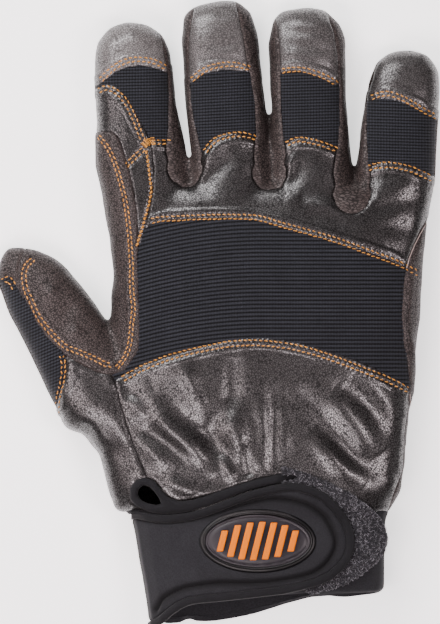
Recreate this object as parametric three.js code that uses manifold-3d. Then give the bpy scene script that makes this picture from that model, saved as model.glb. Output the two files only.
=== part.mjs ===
// A right-hand leather climbing glove, lying palm down with its fingers towards +Y and its thumb
// towards -X. Millimetres, +Z up. It is sewn from separate panels: one hand form gives every panel
// its surface, and seam lines drawn on the back of the hand cut that surface into the panels.
import * as THREE from "three";
import { mergeVertices } from "three/addons/utils/BufferGeometryUtils.js";
import Module from "manifold-3d";

// Overall sizes of the hand form
const gloveLength = 243.4; // cuff edge to middle fingertip
const gloveWidth = 171.6; // thumb to little finger
const palmHeight = 27; // height of the hand over the surface that it lies on
const fingerHeight = 18.5;
const thumbHeight = 20;
const fingertipLength = 13.5; // stretch over which a fingertip rounds off
const thumbTipLength = 9;
const palmEndLength = 7; // the same at the knuckle end of the palm

// Material thicknesses
const leatherWall = 1.5;
const knitWall = 1.3;
const knitRecess = 0.4; // how far the knit lies below the leather around it
const patchRise = 0.8; // extra leather on the grip patch
const bindingRise = 1.5; // how far the vent's binding stands over the leather
const strapWall = 2.7;
const strapBindingRise = 0.6; // how far the strap's binding stands over the strap
const strapBindingWidth = 2.4;
const loopPatchWall = 1.5;
const badgeWall = 1.6;
const badgeRimRise = 0.8;
const barRise = 0.9;

// Places and clearances
const seamGap = 0.3; // clearance between two pieces
const sideSeamHeight = 7.5; // where the back panels meet the palm panel
const badgeLength = 45.6;
const badgeBreadth = 25;
const badgeRimWidth = 1.8;
const badgeTilt = 2; // degrees
const badgeCentre = [58.6, 13.3];
const barCount = 7;
const barWidth = 2.6;
const barPitch = 4.6;
const barFieldLength = 33; // the bars' ends follow an oval of this length and breadth
const barFieldBreadth = 15;
const barSlant = 14; // degrees
const skyHeight = 2 * palmHeight; // above every piece
const curveFineness = 1.25; // steps of a smooth line per point of its table
const sharpestMitre = 0.5; // keeps a widened outline's corners from running out to a spike

// Section shape: a superellipse, rounder above than below, flattened where it rests
const bellyShare = 0.42; // height of the widest line, as a share of the section's height
const topRoundness = 2.5;
const bottomRoundness = 3;
const bottomReach = 1.12; // how far the underside would bulge below the surface it lies on
const limbSides = 14;
const palmSides = 24;
const tipRings = [0.55, 0.88]; // shares of the tip's length
const tipRoundness = 2.2;

// In every table below, across is a share of gloveWidth in percent from the thumb's side, and
// along is a share of gloveLength in percent from the cuff. Heights are shares of the limb's own.
const palmRows = [
  { along: -2.6, left: 36.2, right: 87.3, height: 0.95 },
  { along: 7.9, left: 34.4, right: 87.3, height: 0.92 },
  { along: 16.9, left: 32, right: 87.5, height: 0.88 },
  { along: 18.6, left: 27.5, right: 88.8, height: 0.93 },
  { along: 21.2, left: 24.8, right: 90.9, height: 0.99 },
  { along: 28.8, left: 21.8, right: 92.3, height: 1 },
  { along: 35.9, left: 22.3, right: 93.4, height: 1 },
  { along: 48.7, left: 25.5, right: 95.0, height: 1 },
  { along: 55.1, left: 26.4, right: 95.7, height: 0.97 },
  { along: 62.0, left: 25.2, right: 96.2, height: 0.9 },
  { along: 67.9, left: 23.6, right: 98.0, height: 0.78 },
];
const fingerRows = {
  index: [
    { across: 35.5, along: 62.0, width: 19.0, height: 1.15 },
    { across: 32.5, along: 74.4, width: 20.9, height: 1.03 },
    { across: 30.9, along: 82.7, width: 18.2, height: 1 },
    { across: 30.1, along: 90.6, width: 17.5, height: 0.96 },
  ],
  middle: [
    { across: 53.2, along: 62.0, width: 20.0, height: 1.22 },
    { across: 52.0, along: 74.4, width: 19.1, height: 1.06 },
    { across: 51.0, along: 85.5, width: 18.0, height: 1 },
    { across: 49.9, along: 94.3, width: 17.5, height: 0.96 },
  ],
  ring: [
    { across: 71.6, along: 62.0, width: 20.0, height: 1.2 },
    { across: 70.7, along: 74.4, width: 18.6, height: 1.03 },
    { across: 70.0, along: 84.5, width: 17.5, height: 0.98 },
    { across: 69.8, along: 93.3, width: 17.7, height: 0.95 },
  ],
  little: [
    { across: 86.5, along: 60.0, width: 17.0, height: 1.1 },
    { across: 89.6, along: 71.0, width: 18.4, height: 0.98 },
    { across: 90.9, along: 80.0, width: 17.0, height: 0.93 },
    { across: 91.9, along: 86.3, width: 16.2, height: 0.9 },
  ],
  thumb: [
    { across: 34.1, along: 29.5, width: 19.1, height: 1.15 },
    { across: 23.9, along: 35.9, width: 22.3, height: 1.15 },
    { across: 18.2, along: 42.0, width: 19.5, height: 1.08 },
    { across: 13.6, along: 47.8, width: 18.0, height: 1 },
    { across: 8.6, along: 53.2, width: 16.1, height: 0.9 },
    { across: 5.6, along: 56.6, width: 13.6, height: 0.8 },
  ],
};

// Seam lines on the back of the hand. Each runs past the outline of the form at its ends.
const seams = {
  indexCap: [[18, 84.6], [22.3, 86.2], [26.8, 88.6], [31.1, 89.4], [35, 89.1], [40, 87.5]],
  middleCap: [[40, 84.6], [43.4, 86.5], [46.4, 88], [50, 88.6], [53.6, 88.6], [60, 88]],
  ringCap: [[61, 87.5], [64.1, 88.1], [66.8, 88.5], [70, 88.1], [73.2, 87.3], [80, 85]],
  littleCap: [[80.5, 83.3], [84.1, 83.8], [87.7, 84.1], [91.4, 83.5], [95.5, 82.2], [102, 79.5]],
  indexHem: [[16, 77.7], [27, 77.7], [33, 77.9], [40, 77.7]],
  middleHem: [[40.5, 70.5], [45.9, 75.8], [48.2, 77.9], [50.9, 78.8], [54.5, 79], [60.5, 77.5]],
  ringHem: [[61, 74.5], [64.5, 76.9], [66.4, 77.9], [69.1, 78.2], [73, 77.9], [80, 74.8]],
  littleHem: [[80, 72.8], [83.4, 73.4], [86.8, 74.4], [91.4, 74.2], [95.2, 73.2], [102, 70.5]],
  sidePanel: [
    [16, 84.6], [22, 85.7], [23.6, 86.4], [25.7, 86.4], [27.7, 85.3], [30, 83.3], [32, 80.6],
    [34.1, 77.7], [34.8, 73.6], [34.5, 69.6], [33.2, 64.4], [31.6, 59.9], [30.9, 54],
  ],
  gripPatch: [
    [14, 79.2], [22, 78.5], [24.5, 78.8], [26.4, 77.9], [28, 74.8], [29.5, 71.2], [30.7, 66.3],
    [31.1, 59.9], [31.1, 53.5], [31.6, 47.9], [31.1, 43.6], [27.7, 40.7], [24.5, 40.1],
    [20.5, 41.1], [14.1, 43.7], [10.2, 46.7], [6.4, 51.3], [4.3, 55.1], [4.3, 57.4],
    [5.9, 59.8], [7.3, 63.9],
  ],
  knuckle: [
    [28.4, 59.9], [33.2, 63.5], [37.7, 64.4], [44.3, 64.7], [51.1, 64.8], [56.4, 64.7],
    [62.7, 63.8], [70.5, 62.2], [77.3, 60.7], [85, 59], [90.9, 57.2], [101, 52.6],
  ],
  wrist: [
    [26.2, 39.4], [28.6, 40.4], [31.8, 41.7], [38.2, 43.3], [44.5, 44.5], [50, 45.4],
    [56.4, 46.1], [61.4, 46], [67.5, 45.3], [75.5, 43.8], [81.8, 42.3], [88.2, 40.1], [101, 34],
  ],
  outerSide: [
    [102, 69.6], [97.5, 65.7], [94.5, 61.5], [92, 56.9], [91.1, 51.9], [91.1, 46.5],
    [92.3, 42.3], [92.7, 37.5], [92.3, 33.3], [91.6, 28.8], [90.9, 23.9], [89.1, 19.9],
    [87.6, 17.2],
  ],
  gusset: [
    [25.5, 42], [27, 36.7], [28.4, 32.7], [30.2, 28.7], [31.8, 25.8], [34.1, 22.3], [37, 16],
  ],
  thumbTip: [[-4, 54.2], [-0.5, 54.5], [0.9, 55.4], [2.7, 55.3], [4.1, 53.5], [8, 49]],
  thumbKnit: [
    [11, 47], [14.3, 42.9], [15, 41.5], [14.5, 39.4], [13.4, 37.2], [12.7, 34.6], [13, 29],
  ],
  backMouth: [[24, 3.2], [37.5, 3.7], [52.3, 4.5], [68.2, 5.1], [78.4, 5.1], [96, 5.6]],
  palmMouth: [
    [24, -0.2], [33.6, 0.2], [37.3, 0.1], [40.9, 0.6], [43, 1.3], [44.8, 0.8], [47.7, 0.5],
    [51.1, 0.8], [58, 2.1], [68.2, 4.2], [74.3, 4.8], [79.5, 4.6], [87.7, 5.2], [96, 5.6],
  ],
};

const cuffJoint = 18.1; // along, where the leather ends and the cuff starts

// Closed outlines: the fork strips between two fingers, the vent at the wrist, and the strap
const forks = {
  fork_index_middle: [
    [34.1, 103], [35, 97.1], [36.6, 94.6], [38.2, 88.5], [38.2, 80.8], [38.2, 73.6], [41.1, 70.2],
    [44.8, 72.8], [45.9, 76], [44.3, 79.8], [43.4, 84.3], [42.7, 90.4], [43, 95.5], [45, 103],
  ],
  fork_middle_ring: [
    [52, 103], [54.8, 96.6], [56.1, 91], [57.7, 84], [58.2, 77.6], [58.2, 72.8], [60.9, 69.9],
    [63.9, 72.1], [64.8, 76.1], [64.1, 80], [63.9, 86.4], [63.2, 93.3], [62.7, 97.1], [62.7, 103],
  ],
  fork_ring_little: [
    [73.9, 103], [75.2, 97.1], [76.6, 93.3], [77, 86.5], [77, 79.8], [76.6, 75.2], [75.9, 69.9],
    [80, 65.9], [83.6, 69.2], [83.9, 72.4], [83.4, 77.6], [83.4, 83.8], [84.3, 86.9],
    [85.9, 90.4], [88.2, 95.2],
  ],
};
const ventOutline = [
  [31.4, 18.9], [29.8, 20.7], [30.2, 22.3], [32.3, 23.2], [34.8, 22.8], [36.6, 21.2],
  [38.8, 19.7], [42.5, 19.5], [47.3, 20.4], [50.9, 21.3], [55.7, 22.4], [61.4, 23.5],
  [67.3, 24], [67.3, 23.3], [61.4, 22.6], [55.7, 21.5], [50.9, 20.2], [47.3, 19.2],
  [42.5, 18.2], [37.7, 17.9], [34.5, 18],
];
const ventHole = [
  [31, 20.7], [31.4, 22], [33.2, 22.6], [35, 21.6], [36.6, 20.1], [37, 19], [34.5, 18.9], [32.3, 19.4],
];
const strapOutline = [
  [27.3, 17], [31.8, 17.6], [34.5, 17.4], [37.7, 17.3], [42.5, 17.6], [47.3, 18.6], [50.9, 19.6],
  [55.7, 20.9], [61.4, 22], [65.9, 22.5], [69.5, 22.1], [73.4, 21], [76.8, 18.9], [79.3, 16.3],
  [80.5, 13.5], [79.8, 10.9], [77.7, 8.7], [74.5, 6.9], [70.5, 5.8], [65.5, 5], [59.5, 4.5],
  [53.4, 4], [47.7, 3.6], [43.6, 3.3], [40.9, 2.5], [38.6, 1.3], [36, -0.2], [30, -1.2],
];
const loopOutline = [
  [64, 25.2], [71.6, 23.6], [77.3, 21.8], [82.3, 19.6], [86.2, 17.3], [87.7, 14.9], [87.7, 12.3],
  [86.1, 10.3], [82.3, 8], [78.4, 6.3], [73.9, 5.3], [66, 4.6],
];

const wasm = await Module();
wasm.setup();

// A share pair as a point in millimetres, with the middle of the glove's outline at the origin
function place([across, along]) {
  return new THREE.Vector2((across / 100 - 0.5) * gloveWidth, (along / 100 - 0.5) * gloveLength);
}

// A closed geometry as a solid that can be cut and joined
function solidOf(geometry) {
  const bare = new THREE.BufferGeometry();
  bare.setAttribute("position", geometry.getAttribute("position"));
  bare.setIndex(geometry.index);
  const merged = mergeVertices(bare, 1e-4);
  const mesh = new wasm.Mesh({
    numProp: 3,
    vertProperties: merged.getAttribute("position").array,
    triVerts: new Uint32Array(merged.index.array),
  });
  return new wasm.Manifold(mesh);
}

// A smooth line through the points of a seam or outline
function smooth(points, closed = false) {
  const spots = points.map(place).map((p) => new THREE.Vector3(p.x, p.y, 0));
  const curve = new THREE.CatmullRomCurve3(spots, closed, "centripetal");
  const line = curve.getPoints(Math.round(curveFineness * points.length)).map((p) => new THREE.Vector2(p.x, p.y));
  return closed ? line.slice(0, -1) : line;
}

// A closed outline moved outwards by a distance, or inwards if it is negative
function widen(outline, distance) {
  const turn = THREE.ShapeUtils.area(outline) > 0 ? 1 : -1;
  return outline.map((p, i) => {
    const before = p.clone().sub(outline.at(i - 1)).normalize();
    const after = outline[(i + 1) % outline.length].clone().sub(p).normalize();
    const mitre = (turn * distance) / Math.max(1 + before.dot(after), sharpestMitre);
    return new THREE.Vector2(p.x + (before.y + after.y) * mitre, p.y - (before.x + after.x) * mitre);
  });
}

function anticlockwise(outline) {
  return THREE.ShapeUtils.isClockWise(outline) ? [...outline].reverse() : outline;
}

// An upright prism over an outline, with any holes, from one height to another
function prism(outline, low = -1, high = skyHeight, holes = []) {
  const shape = new THREE.Shape(anticlockwise(outline));
  shape.holes = holes.map((hole) => new THREE.Path(anticlockwise(hole)));
  const geometry = new THREE.ExtrudeGeometry(shape, { depth: high - low, bevelEnabled: false });
  return solidOf(geometry.translate(0, 0, low));
}

// One closed ring of a section, across the limb's direction, grown by a distance.
// The belly's height stays where it is, and a ring of the tip is drawn in towards it by its share.
function sectionRing(row, direction, grow, sides, share = 1, ahead = 0) {
  const belly = row.height * bellyShare;
  const floor = Math.max(0, -grow);
  const points = [];
  for (let i = 0; i < sides; i++) {
    const angle = (2 * Math.PI * i) / sides;
    const c = Math.cos(angle);
    const s = Math.sin(angle);
    const power = s > 0 ? topRoundness : bottomRoundness;
    const out = Math.sign(c) * Math.abs(c) ** (2 / power) * (row.half + grow) * share;
    const rise = Math.abs(s) ** (2 / power) * share;
    const up = (row.height + grow - belly) * rise;
    const down = (belly - floor) * rise * bottomReach;
    points.push(
      row.x + direction.y * out + direction.x * ahead,
      row.y - direction.x * out + direction.y * ahead,
      s > 0 ? belly + up : Math.max(floor, belly - down),
    );
  }
  return points;
}

// A limb through its rows, flat at its first row and rounded off past its last
function limb(rows, direction, tipLength, grow, sides) {
  const last = rows[rows.length - 1];
  const reach = tipLength + grow;
  const rings = rows.map((row) => sectionRing(row, direction, grow, sides));
  for (const t of tipRings) {
    const share = (1 - t ** tipRoundness) ** (1 / tipRoundness);
    rings.push(sectionRing(last, direction, grow, sides, share, t * reach));
  }
  const first = rows[0];
  const positions = rings.flat();
  positions.push(first.x, first.y, first.height * bellyShare);
  positions.push(
    last.x + direction.x * reach,
    last.y + direction.y * reach,
    last.height * bellyShare,
  );
  const start = rings.length * sides;
  const index = [];
  for (let i = 0; i < sides; i++) {
    const j = (i + 1) % sides;
    index.push(start, i, j);
    index.push(start + 1, (rings.length - 1) * sides + j, (rings.length - 1) * sides + i);
    for (let r = 0; r < rings.length - 1; r++) {
      const a = r * sides;
      const b = a + sides;
      index.push(a + i, b + i, b + j, a + i, b + j, a + j);
    }
  }
  const geometry = new THREE.BufferGeometry();
  geometry.setAttribute("position", new THREE.Float32BufferAttribute(positions, 3));
  geometry.setIndex(index);
  return solidOf(geometry);
}

function palmLimb(grow) {
  const rows = palmRows.map(({ along, left, right, height }) => {
    const middle = place([(left + right) / 2, along]);
    const half = ((right - left) / 200) * gloveWidth;
    return { x: middle.x, y: middle.y, half, height: height * palmHeight };
  });
  return limb(rows, new THREE.Vector2(0, 1), palmEndLength, grow, palmSides);
}

function fingerLimb(name, grow) {
  const table = fingerRows[name];
  const fullHeight = name === "thumb" ? thumbHeight : fingerHeight;
  const rows = table.map(({ across, along, width, height }) => {
    const middle = place([across, along]);
    const half = (width / 200) * gloveWidth;
    return { x: middle.x, y: middle.y, half, height: height * fullHeight };
  });
  const end = rows[rows.length - 1];
  const direction = new THREE.Vector2(end.x - rows[0].x, end.y - rows[0].y).normalize();
  const tip = name === "thumb" ? thumbTipLength : fingertipLength;
  return limb(rows, direction, tip, grow, limbSides);
}

// The whole hand form, its surface moved outwards by a distance
const forms = new Map();
function handForm(grow) {
  if (!forms.has(grow)) {
    const fingers = Object.keys(fingerRows).map((name) => fingerLimb(name, grow));
    forms.set(grow, fingers.reduce((joined, finger) => joined.add(finger), palmLimb(grow)));
  }
  return forms.get(grow);
}

// The wall between two distances from the hand form
function wall(inner, outer) {
  return handForm(outer).subtract(handForm(inner));
}

// The largest body of a solid, without the crumbs that a cut can leave beside it
function largest(solid) {
  return solid.decompose().reduce((a, b) => (b.volume() > a.volume() ? b : a));
}

const finishes = {
  black_leather: { color: 0x2c2828, roughness: 0.45, metalness: 0 },
  brown_leather: { color: 0x332a27, roughness: 0.62, metalness: 0 },
  stretch_knit: { color: 0x1d1e20, roughness: 0.9, metalness: 0 },
  neoprene: { color: 0x262628, roughness: 0.85, metalness: 0 },
  binding_tape: { color: 0x1a1a1c, roughness: 0.9, metalness: 0 },
  loop_fabric: { color: 0x101012, roughness: 1, metalness: 0 },
  badge_rubber: { color: 0x303034, roughness: 0.5, metalness: 0 },
  orange_rubber: { color: 0xf08a24, roughness: 0.5, metalness: 0 },
};

const glove = new THREE.Group();

function addPiece(name, finish, solid) {
  const { vertProperties, triVerts } = largest(solid).getMesh();
  const geometry = new THREE.BufferGeometry();
  geometry.setAttribute("position", new THREE.BufferAttribute(vertProperties, 3));
  geometry.setIndex(new THREE.BufferAttribute(triVerts, 1));
  geometry.computeVertexNormals();
  const mesh = new THREE.Mesh(geometry, new THREE.MeshStandardMaterial(finishes[finish]));
  mesh.name = name;
  glove.add(mesh);
}

// Panels are cut from the form one after another, each from what the earlier ones left.
const backFrom = sideSeamHeight + seamGap / 2;
const palmUpTo = sideSeamHeight - seamGap / 2;
let cutAway;

function cutPanel(name, finish, layer, outline, { low = backFrom, holes = [] } = {}) {
  const region = prism(outline, low, skyHeight, holes);
  const piece = layer.intersect(region);
  addPiece(name, finish, cutAway ? piece.subtract(cutAway) : piece);
  const cleared = prism(widen(outline, seamGap), low - seamGap, skyHeight);
  cutAway = cutAway ? cutAway.add(cleared) : cleared;
}

// Outlines of all that lies on one side of a seam line, closed far outside the form
function beyond(seam, corners) {
  return [...smooth(seams[seam]), ...corners.map(place)];
}
const above = (seam) => beyond(seam, [[seams[seam].at(-1)[0], 110], [seams[seam][0][0], 110]]);

const hand = [[-10, cuffJoint], [110, cuffJoint], [110, 110], [-10, 110]].map(place);

const leather = wall(-leatherWall, 0);
const knit = wall(-knitRecess - knitWall, -knitRecess);
const patchLeather = wall(-leatherWall, patchRise);
const binding = wall(-leatherWall, bindingRise);

function addVent() {
  const outline = smooth(ventOutline, true);
  cutPanel("vent_binding", "binding_tape", binding, outline, { holes: [smooth(ventHole, true)] });
}

function addGripPatch() {
  const corners = [[7.3, 70], [12, 79.2]].map(place);
  const outline = [...smooth(seams.gripPatch), ...corners];
  cutPanel("grip_patch", "brown_leather", patchLeather, outline, { low: -1 });
}

function addForks() {
  for (const [name, outline] of Object.entries(forks)) {
    cutPanel(name, "brown_leather", leather, smooth(outline, true));
  }
}

function addFingers() {
  cutPanel("index_side", "black_leather", leather, beyond("sidePanel", [[14, 54]]));
  for (const name of ["index", "middle", "ring", "little"]) {
    cutPanel(name + "_cap", "black_leather", leather, above(name + "Cap"));
    cutPanel(name + "_knit", "stretch_knit", knit, above(name + "Hem"));
  }
}

function addThumb() {
  const tip = beyond("thumbTip", [[8, 64], [-4, 64]]);
  cutPanel("thumb_tip", "brown_leather", leather, tip, { low: -1 });
  const back = beyond("thumbKnit", [[-8, 29], [-8, 64], [8, 64]]);
  cutPanel("thumb_knit", "stretch_knit", knit, back);
}

// The palm panel is all of the underside, and it wraps round the hand's outer edge.
function addPalm() {
  const wrap = beyond("outerSide", [[110, 17.2], [110, 69.6]]);
  const outer = prism(wrap, palmUpTo - seamGap).intersect(prism(hand));
  const region = prism(hand, -1, palmUpTo).add(outer);
  addPiece("palm_panel", "brown_leather", leather.intersect(region).subtract(cutAway));
  cutAway = cutAway.add(prism(widen(wrap, seamGap), palmUpTo - seamGap, skyHeight));
}

function addBack() {
  cutPanel("knuckle_panel", "black_leather", leather, above("knuckle"));
  const knitCorners = [[110, 110], [28, 110], [28, 50], [25.4, 42]];
  cutPanel("back_knit", "stretch_knit", knit, beyond("wrist", knitCorners));
  const inside = beyond("gusset", [[110, 16], [110, 60], [26, 60]]);
  const wristPanel = leather.intersect(prism(inside, backFrom)).intersect(prism(hand, backFrom));
  addPiece("wrist_panel", "black_leather", wristPanel.subtract(cutAway));
  cutAway = cutAway.add(prism(widen(inside, seamGap), backFrom - seamGap, skyHeight));
  cutPanel("thumb_gusset", "black_leather", leather, hand);
}

function addCuff() {
  const joint = cuffJoint - (100 * seamGap) / gloveLength;
  const top = [[110, joint], [-10, joint]];
  const back = prism(beyond("backMouth", top), palmUpTo);
  const palm = prism(beyond("palmMouth", top), -1, palmUpTo);
  const vent = prism(widen(smooth(ventOutline, true), seamGap), backFrom - seamGap);
  addPiece("cuff", "neoprene", leather.intersect(back.add(palm)).subtract(vent));
}

function addStrap() {
  const outline = smooth(strapOutline, true);
  const inner = widen(outline, -strapBindingWidth);
  const core = widen(inner, -seamGap);
  const top = seamGap + strapWall;
  const edge = prism(outline, backFrom, skyHeight, [inner]);
  addPiece("strap_binding", "binding_tape", wall(seamGap, top + strapBindingRise).intersect(edge));
  addPiece("strap", "neoprene", wall(seamGap, top).intersect(prism(core, backFrom)));
  const cleared = prism(widen(outline, seamGap), 0).add(prism(widen(smooth(ventOutline, true), seamGap), 0));
  const loop = wall(seamGap, seamGap + loopPatchWall).intersect(prism(smooth(loopOutline, true), backFrom));
  addPiece("loop_patch", "loop_fabric", loop.subtract(cleared));
}

// An oval outline about the badge's centre
function badgeOval(length, breadth) {
  const centre = place(badgeCentre);
  const tilt = THREE.MathUtils.degToRad(badgeTilt);
  const oval = new THREE.EllipseCurve(centre.x, centre.y, length / 2, breadth / 2, 0, 2 * Math.PI, false, tilt);
  return oval.getPoints(28).slice(0, -1);
}

function addBadge() {
  const onStrap = strapWall + 2 * seamGap;
  const plateTop = onStrap + badgeWall;
  const plateLength = badgeLength - 2 * badgeRimWidth;
  const plateBreadth = badgeBreadth - 2 * badgeRimWidth;
  const inner = badgeOval(plateLength, plateBreadth);
  const rim = prism(badgeOval(badgeLength, badgeBreadth), backFrom, skyHeight, [inner]);
  const plate = prism(badgeOval(plateLength - 2 * seamGap, plateBreadth - 2 * seamGap), backFrom);
  addPiece("badge_rim", "badge_rubber", wall(onStrap, plateTop + badgeRimRise).intersect(rim));
  addPiece("badge_plate", "badge_rubber", wall(onStrap, plateTop).intersect(plate));
  const barLayer = wall(plateTop + seamGap, plateTop + seamGap + barRise);
  const centre = place(badgeCentre);
  const lean = Math.tan(THREE.MathUtils.degToRad(barSlant));
  for (let i = 0; i < barCount; i++) {
    const offset = (i - (barCount - 1) / 2) * barPitch;
    const reach = (barFieldBreadth / 2) * Math.sqrt(1 - (2 * offset / barFieldLength) ** 2);
    const corners = [[-1, -1], [1, -1], [1, 1], [-1, 1]].map(([side, end]) => new THREE.Vector2(
      centre.x + offset + (side * barWidth) / 2 + end * reach * lean,
      centre.y + end * reach,
    ));
    addPiece("badge_bar_" + (i + 1), "orange_rubber", barLayer.intersect(prism(corners, backFrom)));
  }
}

addVent();
addGripPatch();
addForks();
addFingers();
addThumb();
addPalm();
addBack();
addCuff();
addStrap();
addBadge();

// The origin is under the middle of the glove's outline, on the surface that it lies on.
const outline = new THREE.Box3().setFromObject(glove);
const middle = outline.getCenter(new THREE.Vector3());
glove.position.set(-middle.x, -middle.y, -outline.min.z);

export default glove;
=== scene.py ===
# A right-hand climbing glove on a pale floor, seen straight from above.
# The hand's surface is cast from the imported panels, cut again along their seams, then creased,
# ribbed, sewn and finished. Metres throughout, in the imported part's frame.
import math
import random

import bmesh
import bpy
import numpy as np
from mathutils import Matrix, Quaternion, Vector, noise
from mathutils.bvhtree import BVHTree
from mathutils.kdtree import KDTree


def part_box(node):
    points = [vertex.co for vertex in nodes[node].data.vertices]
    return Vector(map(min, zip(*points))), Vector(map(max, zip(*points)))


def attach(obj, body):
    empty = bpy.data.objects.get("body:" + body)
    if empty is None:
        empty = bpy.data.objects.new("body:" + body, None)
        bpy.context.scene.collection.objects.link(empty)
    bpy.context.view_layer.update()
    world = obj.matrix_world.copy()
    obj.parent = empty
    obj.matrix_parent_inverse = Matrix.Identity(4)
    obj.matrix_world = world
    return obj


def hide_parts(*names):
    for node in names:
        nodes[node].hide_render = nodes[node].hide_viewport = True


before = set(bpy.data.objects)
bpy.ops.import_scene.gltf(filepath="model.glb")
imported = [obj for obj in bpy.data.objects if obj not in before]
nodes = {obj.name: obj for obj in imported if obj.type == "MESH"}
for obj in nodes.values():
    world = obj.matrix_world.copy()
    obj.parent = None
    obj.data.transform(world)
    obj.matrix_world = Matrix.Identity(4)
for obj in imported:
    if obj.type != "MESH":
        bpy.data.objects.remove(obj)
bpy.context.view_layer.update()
mm = 0.001
up = Vector((0, 0, 1))
down = Vector((0, 0, -1))

# The photo's own frame. Seams, folds and stitches below are places in it.
picture = {"width": 440, "height": 624, "pixel": 0.39 * mm, "middle": (0.81 * mm, 1.36 * mm)}


def spot(x, y):
    across = (x - picture["width"] / 2) * picture["pixel"] + picture["middle"][0]
    along = (picture["height"] / 2 - y) * picture["pixel"] + picture["middle"][1]
    return across, along


def acrossAt(x):
    return spot(x, 0)[0]


def deselectAll():
    if bpy.context.object and bpy.context.object.mode != "OBJECT":
        bpy.ops.object.mode_set(mode="OBJECT")
    bpy.ops.object.select_all(action="DESELECT")


def activate(piece):
    deselectAll()
    piece.select_set(True)
    bpy.context.view_layer.objects.active = piece


def addObject(name, data):
    made = bpy.data.objects.new(name, data)
    bpy.context.scene.collection.objects.link(made)
    return made


def copyOf(piece, name):
    return addObject(name, piece.data.copy())


def meshPiece(name, points, faces):
    mesh = bpy.data.meshes.new(name)
    mesh.from_pydata(points, [], faces)
    return addObject(name, mesh)


def editAll(piece, *steps):
    # runs edit-mode operators on the whole of a mesh
    activate(piece)
    bpy.ops.object.mode_set(mode="EDIT")
    bpy.ops.mesh.select_all(action="SELECT")
    for operator, settings in steps:
        operator(**settings)
    bpy.ops.object.mode_set(mode="OBJECT")


mergeCorners = (bpy.ops.mesh.remove_doubles, {"threshold": 0.001 * mm})
facesOut = (bpy.ops.mesh.normals_make_consistent, {"inside": False})


def applyModifier(piece, kind, **settings):
    activate(piece)
    modifier = piece.modifiers.new(kind.title(), kind)
    for key, value in settings.items():
        setattr(modifier, key, value)
    bpy.ops.object.modifier_apply(modifier=modifier.name)


def pointsOf(piece):
    points = np.empty(len(piece.data.vertices) * 3)
    piece.data.vertices.foreach_get("co", points)
    return points.reshape(-1, 3)


def setPoints(piece, points):
    piece.data.vertices.foreach_set("co", points.ravel())
    piece.data.update()


def normalsOf(piece):
    normals = np.empty(len(piece.data.vertices) * 3)
    piece.data.vertex_normals.foreach_get("vector", normals)
    return normals.reshape(-1, 3)


def readValues(piece, name):
    values = np.empty(len(piece.data.vertices))
    piece.data.attributes[name].data.foreach_get("value", values)
    return values


def writeValues(piece, name, values):
    layer = piece.data.attributes.get(name) or piece.data.attributes.new(name, "FLOAT", "POINT")
    layer.data.foreach_set("value", np.asarray(values, dtype=np.float32))


def writeDirections(piece, name, vectors):
    layer = piece.data.attributes.new(name, "FLOAT_VECTOR", "POINT")
    layer.data.foreach_set("vector", np.asarray(vectors, dtype=np.float32).ravel())


def readDirections(piece, name):
    vectors = np.empty(len(piece.data.vertices) * 3)
    piece.data.attributes[name].data.foreach_get("vector", vectors)
    vectors = vectors.reshape(-1, 3)
    return vectors / np.linalg.norm(vectors, axis=1)[:, None]


def forget(piece, *names):
    for name in names:
        piece.data.attributes.remove(piece.data.attributes[name])


def treeOf(piece):
    return BVHTree.FromObject(piece, bpy.context.evaluated_depsgraph_get())


def ramp(values, low, high):
    # a smooth step from 0 at low to 1 at high
    share = np.clip((values - low) / (high - low), 0, 1)
    return share * share * (3 - 2 * share)


# The skin's panels: each row gives a slot of the record, the levels of subdivision and the panels
skin = {name: {"slot": slot, "levels": levels} for slot, levels, names in (
    ("black_leather", 1, ("index_cap", "middle_cap", "ring_cap", "little_cap", "index_side",
                          "knuckle_panel", "wrist_panel")),
    ("black_leather", 0, ("thumb_gusset",)),
    ("brown_leather", 0, ("fork_index_middle", "fork_middle_ring", "fork_ring_little")),
    ("brown_leather", 1, ("grip_patch",)),
    ("brown_leather", 0, ("thumb_tip", "palm_panel")),
    ("neoprene", 0, ("cuff",)),
    ("binding_tape", 1, ("vent_binding",)),
    ("stretch_knit", 0, ("index_knit", "middle_knit", "ring_knit", "little_knit", "thumb_knit",
                         "back_knit")),
) for name in names}
handForm = {
    "voxel": 0.95 * mm,
    "smoothPasses": 26,
    "regain": 0.3 * mm,  # put back after the smoothing has drawn the surface in
    # smoothed less within the gap's width, wholly so within its core, so that the gaps stay open
    "gapWidth": 3.4 * mm, "gapCore": 0.6, "gapShare": 0.12,
    "gaps": [[(176, 12), (182, 80), (186, 130), (190, 172)], [(258, 12), (264, 70), (269, 124)],
             [(346, 55), (350, 110), (354, 180)]],
    # slits cut between two fingers: a pixel on the left and one on the right at each stop
    "slits": [
        [(178, 108, 186.5, 108), (181, 125, 188.5, 125), (184, 140, 190.5, 140),
         (186.3, 154, 192.3, 154), (188.5, 166, 193, 166), (190, 171, 192.4, 171)],
        [(262, 80, 268, 80), (264.3, 94, 271, 94), (266, 107, 272.2, 107),
         (267.4, 115, 271.8, 115), (268.4, 120, 270.8, 120)],
        [(347, 120, 356, 120), (351, 150, 357.5, 150), (352.8, 166, 356.6, 166),
         (354, 172, 355.6, 172)]],
    "slitHeights": (-5 * mm, 50 * mm),
    "plugShare": (0.98, 1, 0.92),  # the plug of the mouth stays inside the cuff's wall
    "ventEnd": 168,  # the bound loop at the wrist lies left of this pixel
}


curveSteps = 12  # steps of a smooth line between two of its places


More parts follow.
